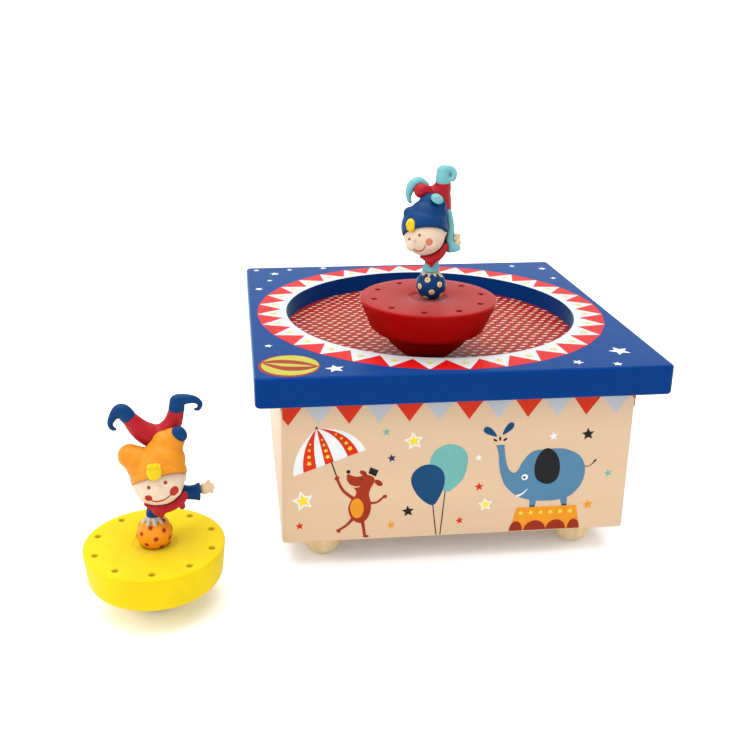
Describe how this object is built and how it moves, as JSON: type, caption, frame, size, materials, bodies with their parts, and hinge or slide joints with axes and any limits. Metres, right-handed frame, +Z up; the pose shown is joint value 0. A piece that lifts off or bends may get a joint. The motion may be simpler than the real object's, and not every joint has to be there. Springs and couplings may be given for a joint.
{
  "type": "magnetic spinning top music box",
  "caption": "Wooden wind-up music box whose turning magnets make dimpled spinning tops with acrobat figures dance on a sunken round stage.",
  "frame": {"origin": "centre of the box footprint, on the surface it stands on", "axes": "+Z up, the printed front faces -Y, +X to the right seen from the front"},
  "size_m": [0.2247, 0.1933, 0.1572],
  "materials": {
    "blue_board": "painted and printed, satin",
    "stage_red": "printed, satin",
    "print_peach": "printed front, satin",
    "raw_wood": "bare",
    "pale_wood": "clear lacquer",
    "red_lacquer": "gloss lacquer",
    "yellow_lacquer": "gloss lacquer",
    "red_acrobat_paint": "hand painted resin",
    "yellow_acrobat_paint": "hand painted resin",
    "brass": "turned and stamped",
    "steel": "bright",
    "spring_steel": "blued",
    "magnet": "plain"
  },
  "bodies": {
    "box": {"top_board": "blue_board", "stage_disc": "stage_red", "front_panel": "print_peach", "back_panel": "print_peach", "left_panel": "print_peach", "right_panel": "print_peach", "bottom_board": "raw_wood", "corner_blocks": "raw_wood", "top_dowels": "raw_wood", "ball_feet": "pale_wood", "foot_dowel_screws": "steel", "cross_bar": "raw_wood", "shaft_bushing": "brass", "bedplate": "brass", "bedplate_screws": "steel", "inner_bearing": "brass", "outer_bearing": "brass", "bearing_screws": "steel", "comb": "steel", "comb_base": "brass", "comb_screws": "steel", "governor_frame": "brass", "click_stud": "steel", "click_spring": "spring_steel"},
    "click": {"click": "spring_steel"},
    "winder": {"winding_key": "brass", "winding_arbor": "steel", "ratchet_wheel": "steel"},
    "drive": {"spring_barrel": "brass", "crown_wheel": "brass", "mainspring": "spring_steel", "takeoff_shaft": "steel", "carrier_arm": "brass", "carrier_screw": "steel", "magnet_cups": "steel", "carrier_magnets": "magnet"},
    "cylinder": {"music_cylinder": "brass", "cylinder_arbor": "steel", "cylinder_pinion": "brass", "cylinder_wheel": "brass"},
    "governor": {"governor_arbor": "steel", "governor_pinion": "brass", "worm_wheel": "brass"},
    "worm": {"governor_worm": "steel", "governor_fan": "brass"},
    "red_foot": {"red_pivot": "steel"},
    "red_top": {"red_base": "red_lacquer", "red_magnet": "magnet", "red_dowel": "raw_wood", "red_acrobat": "red_acrobat_paint"},
    "yellow_foot": {"yellow_pivot": "steel"},
    "yellow_top": {"yellow_base": "yellow_lacquer", "yellow_magnet": "magnet", "yellow_dowel": "raw_wood", "yellow_acrobat": "yellow_acrobat_paint"}
  },
  "joints": [
    {"name": "key_turn", "type": "hinge", "parent": "box", "child": "winder", "pos_m": [0, 0, 0], "axis": [0, 0, 1], "continuous": true},
    {"name": "click_swing", "type": "hinge", "parent": "box", "child": "click", "pos_m": [-0.0132, -0.0048, 0.021], "axis": [0, 0, 1], "range_deg": [0, 10]},
    {"name": "drive_turn", "type": "hinge", "parent": "box", "child": "drive", "pos_m": [0, 0, 0.06], "axis": [0, 0, 1], "continuous": true},
    {"name": "cylinder_turn", "type": "hinge", "parent": "box", "child": "cylinder", "pos_m": [0.036, 0, 0.0415], "axis": [1, 0, 0], "continuous": true},
    {"name": "governor_turn", "type": "hinge", "parent": "box", "child": "governor", "pos_m": [0.048, -0.0145, 0.0415], "axis": [1, 0, 0], "continuous": true},
    {"name": "worm_turn", "type": "hinge", "parent": "box", "child": "worm", "pos_m": [0.0516, -0.02245, 0.0415], "axis": [0, 0, 1], "continuous": true},
    {"name": "red_lift", "type": "slide", "parent": "drive", "child": "red_foot", "axis": [0, 0, 1], "range_m": [0, 0.04]},
    {"name": "red_spin", "type": "hinge", "parent": "red_foot", "child": "red_top", "pos_m": [-0.00842, -0.03859, 0.08], "axis": [0, 0, 1], "continuous": true},
    {"name": "yellow_lift", "type": "slide", "parent": "box", "child": "yellow_foot", "axis": [0, 0, 1], "range_m": [0, 0.04]},
    {"name": "yellow_spin", "type": "hinge", "parent": "yellow_foot", "child": "yellow_top", "pos_m": [-0.1185, -0.0871, 0.01], "axis": [0, 0, 1], "continuous": true}
  ],
  "couplings": [
    {"joint": "cylinder_turn", "follows": "drive_turn", "ratio": 2.5},
    {"joint": "governor_turn", "follows": "drive_turn", "ratio": -7.5},
    {"joint": "worm_turn", "follows": "drive_turn", "ratio": -150}
  ]
}
